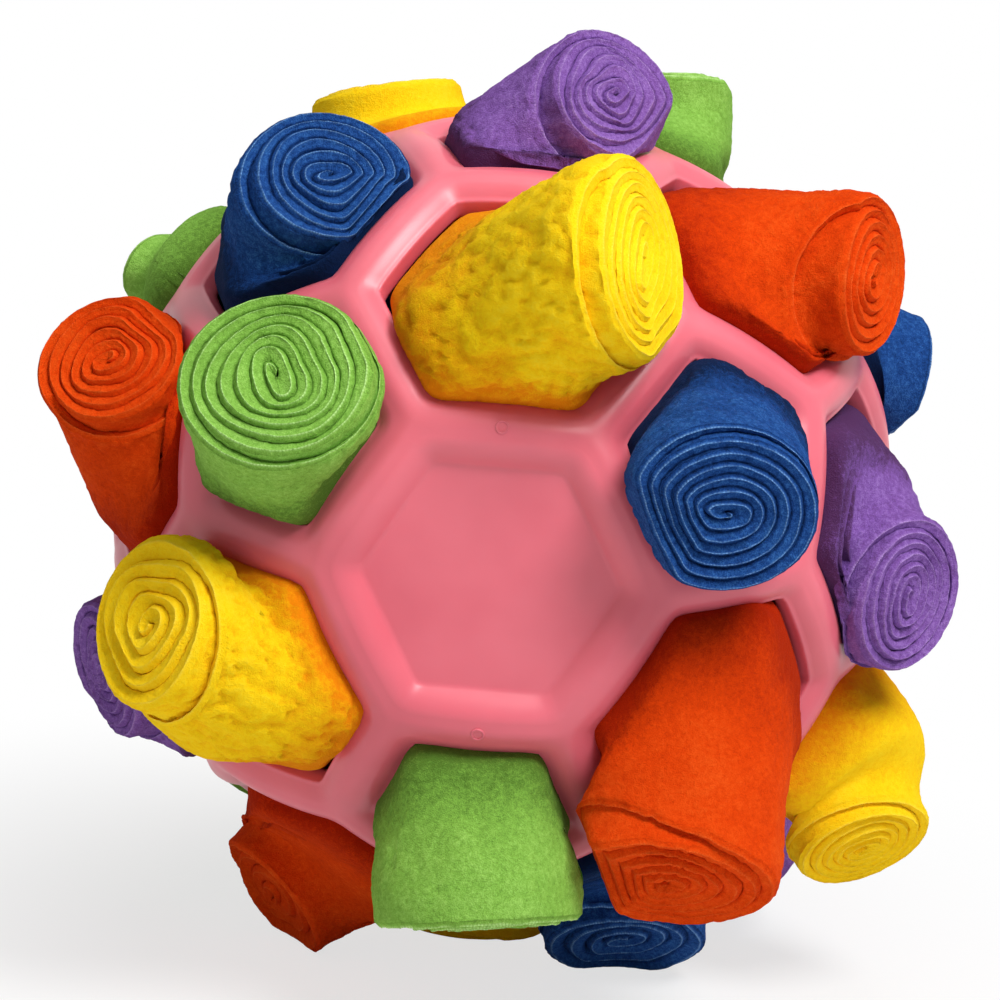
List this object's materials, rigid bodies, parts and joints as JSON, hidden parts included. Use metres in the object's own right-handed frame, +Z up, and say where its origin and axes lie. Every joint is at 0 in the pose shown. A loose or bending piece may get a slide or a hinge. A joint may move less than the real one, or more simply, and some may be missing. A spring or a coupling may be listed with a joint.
{
  "type": "treat ball",
  "caption": "Hollow ball cage with football-pattern bars, closed hexagon panels front and back and rolled fleece strips in its openings; treats are hidden among them for a pet to nose out.",
  "frame": {"origin": "on the surface the ball stands on, straight below the cage's centre", "axes": "+Z up, -Y out of the closed front panel, +X to the right seen from the front"},
  "size_m": [0.1411, 0.1401, 0.1517],
  "materials": {
    "cage": "moulded soft pink, satin",
    "fleece_yellow": "matted short-pile fleece",
    "fleece_orange": "matted short-pile fleece",
    "fleece_green": "matted short-pile fleece",
    "fleece_blue": "matted short-pile fleece",
    "fleece_purple": "matted short-pile fleece"
  },
  "bodies": {
    "cage": {"ball_cage": "cage"},
    "yellow_top_roll": {"yellow_top": "fleece_yellow"},
    "blue_front_right_roll": {"blue_front_right": "fleece_blue"},
    "orange_lower_right_roll": {"orange_lower_right": "fleece_orange"},
    "green_bottom_roll": {"green_bottom": "fleece_green"},
    "yellow_lower_left_roll": {"yellow_lower_left": "fleece_yellow"},
    "green_front_left_roll": {"green_front_left": "fleece_green"},
    "blue_upper_left_roll": {"blue_upper_left": "fleece_blue"},
    "purple_top_roll": {"purple_top": "fleece_purple"},
    "orange_upper_right_roll": {"orange_upper_right": "fleece_orange"},
    "purple_right_roll": {"purple_right": "fleece_purple"},
    "yellow_right_roll": {"yellow_right": "fleece_yellow"},
    "blue_bottom_roll": {"blue_bottom": "fleece_blue"},
    "orange_bottom_left_roll": {"orange_bottom_left": "fleece_orange"},
    "orange_left_roll": {"orange_left": "fleece_orange"},
    "purple_left_roll": {"purple_left": "fleece_purple"},
    "blue_far_right_roll": {"blue_far_right": "fleece_blue"},
    "green_far_left_roll": {"green_far_left": "fleece_green"},
    "yellow_bottom_roll": {"yellow_bottom": "fleece_yellow"},
    "green_far_top_roll": {"green_far_top": "fleece_green"},
    "yellow_far_top_roll": {"yellow_far_top": "fleece_yellow"},
    "green_far_lower_left_roll": {"green_far_lower_left": "fleece_green"},
    "purple_far_lower_right_roll": {"purple_far_lower_right": "fleece_purple"},
    "blue_back_left_roll": {"blue_back_left": "fleece_blue"},
    "orange_back_right_roll": {"orange_back_right": "fleece_orange"},
    "purple_back_right_roll": {"purple_back_right": "fleece_purple"},
    "orange_back_left_roll": {"orange_back_left": "fleece_orange"},
    "green_back_bottom_roll": {"green_back_bottom": "fleece_green"},
    "blue_back_top_roll": {"blue_back_top": "fleece_blue"},
    "yellow_back_lower_left_roll": {"yellow_back_lower_left": "fleece_yellow"},
    "purple_back_lower_right_roll": {"purple_back_lower_right": "fleece_purple"}
  },
  "joints": [
    {"name": "pull_yellow_top", "type": "slide", "parent": "cage", "child": "yellow_top_roll", "axis": [0, -0.7454, 0.6667], "range_m": [0, 0.02]},
    {"name": "pull_blue_front_right", "type": "slide", "parent": "cage", "child": "blue_front_right_roll", "axis": [0.5257, -0.7947, 0.3035], "range_m": [0, 0.02]},
    {"name": "pull_orange_lower_right", "type": "slide", "parent": "cage", "child": "orange_lower_right_roll", "axis": [0.5773, -0.7454, -0.3333], "range_m": [0, 0.02]},
    {"name": "pull_green_bottom", "type": "slide", "parent": "cage", "child": "green_bottom_roll", "axis": [0, -0.7947, -0.6071], "range_m": [0, 0.02]},
    {"name": "pull_yellow_lower_left", "type": "slide", "parent": "cage", "child": "yellow_lower_left_roll", "axis": [-0.5774, -0.7454, -0.3333], "range_m": [0, 0.02]},
    {"name": "pull_green_front_left", "type": "slide", "parent": "cage", "child": "green_front_left_roll", "axis": [-0.5257, -0.7947, 0.3035], "range_m": [0, 0.02]},
    {"name": "pull_blue_upper_left", "type": "slide", "parent": "cage", "child": "blue_upper_left_roll", "axis": [-0.5773, -0.3333, 0.7454], "range_m": [0, 0.02]},
    {"name": "pull_purple_top", "type": "slide", "parent": "cage", "child": "purple_top_roll", "axis": [0, -0.1876, 0.9822], "range_m": [0, 0.02]},
    {"name": "pull_orange_upper_right", "type": "slide", "parent": "cage", "child": "orange_upper_right_roll", "axis": [0.5774, -0.3333, 0.7454], "range_m": [0, 0.02]},
    {"name": "pull_purple_right", "type": "slide", "parent": "cage", "child": "purple_right_roll", "axis": [0.9342, -0.3333, 0.1273], "range_m": [0, 0.02]},
    {"name": "pull_yellow_right", "type": "slide", "parent": "cage", "child": "yellow_right_roll", "axis": [0.8506, -0.1876, -0.4911], "range_m": [0, 0.02]},
    {"name": "pull_blue_bottom", "type": "slide", "parent": "cage", "child": "blue_bottom_roll", "axis": [0.3568, -0.3333, -0.8727], "range_m": [0, 0.02]},
    {"name": "pull_orange_bottom_left", "type": "slide", "parent": "cage", "child": "orange_bottom_left_roll", "axis": [-0.3568, -0.3333, -0.8727], "range_m": [0, 0.02]},
    {"name": "pull_orange_left", "type": "slide", "parent": "cage", "child": "orange_left_roll", "axis": [-0.9342, -0.3333, 0.1273], "range_m": [0, 0.02]},
    {"name": "pull_purple_left", "type": "slide", "parent": "cage", "child": "purple_left_roll", "axis": [-0.8507, -0.1876, -0.4911], "range_m": [0, 0.02]},
    {"name": "pull_blue_far_right", "type": "slide", "parent": "cage", "child": "blue_far_right_roll", "axis": [0.8507, 0.1876, 0.4911], "range_m": [0, 0.02]},
    {"name": "pull_green_far_left", "type": "slide", "parent": "cage", "child": "green_far_left_roll", "axis": [-0.8506, 0.1876, 0.4911], "range_m": [0, 0.02]},
    {"name": "pull_yellow_bottom", "type": "slide", "parent": "cage", "child": "yellow_bottom_roll", "axis": [0, 0.1876, -0.9822], "range_m": [0, 0.02]},
    {"name": "pull_green_far_top", "type": "slide", "parent": "cage", "child": "green_far_top_roll", "axis": [0.3568, 0.3333, 0.8727], "range_m": [0, 0.02]},
    {"name": "pull_yellow_far_top", "type": "slide", "parent": "cage", "child": "yellow_far_top_roll", "axis": [-0.3568, 0.3333, 0.8727], "range_m": [0, 0.02]},
    {"name": "pull_green_far_lower_left", "type": "slide", "parent": "cage", "child": "green_far_lower_left_roll", "axis": [-0.5774, 0.3333, -0.7454], "range_m": [0, 0.02]},
    {"name": "pull_purple_far_lower_right", "type": "slide", "parent": "cage", "child": "purple_far_lower_right_roll", "axis": [0.5773, 0.3333, -0.7454], "range_m": [0, 0.02]},
    {"name": "pull_blue_back_left", "type": "slide", "parent": "cage", "child": "blue_back_left_roll", "axis": [-0.9342, 0.3333, -0.1273], "range_m": [0, 0.02]},
    {"name": "pull_orange_back_right", "type": "slide", "parent": "cage", "child": "orange_back_right_roll", "axis": [0.9342, 0.3333, -0.1273], "range_m": [0, 0.02]},
    {"name": "pull_purple_back_right", "type": "slide", "parent": "cage", "child": "purple_back_right_roll", "axis": [0.5774, 0.7454, 0.3333], "range_m": [0, 0.02]},
    {"name": "pull_orange_back_left", "type": "slide", "parent": "cage", "child": "orange_back_left_roll", "axis": [-0.5773, 0.7454, 0.3333], "range_m": [0, 0.02]},
    {"name": "pull_green_back_bottom", "type": "slide", "parent": "cage", "child": "green_back_bottom_roll", "axis": [0, 0.7454, -0.6667], "range_m": [0, 0.02]},
    {"name": "pull_blue_back_top", "type": "slide", "parent": "cage", "child": "blue_back_top_roll", "axis": [0, 0.7947, 0.6071], "range_m": [0, 0.02]},
    {"name": "pull_yellow_back_lower_left", "type": "slide", "parent": "cage", "child": "yellow_back_lower_left_roll", "axis": [-0.5257, 0.7947, -0.3035], "range_m": [0, 0.02]},
    {"name": "pull_purple_back_lower_right", "type": "slide", "parent": "cage", "child": "purple_back_lower_right_roll", "axis": [0.5257, 0.7947, -0.3035], "range_m": [0, 0.02]}
  ]
}
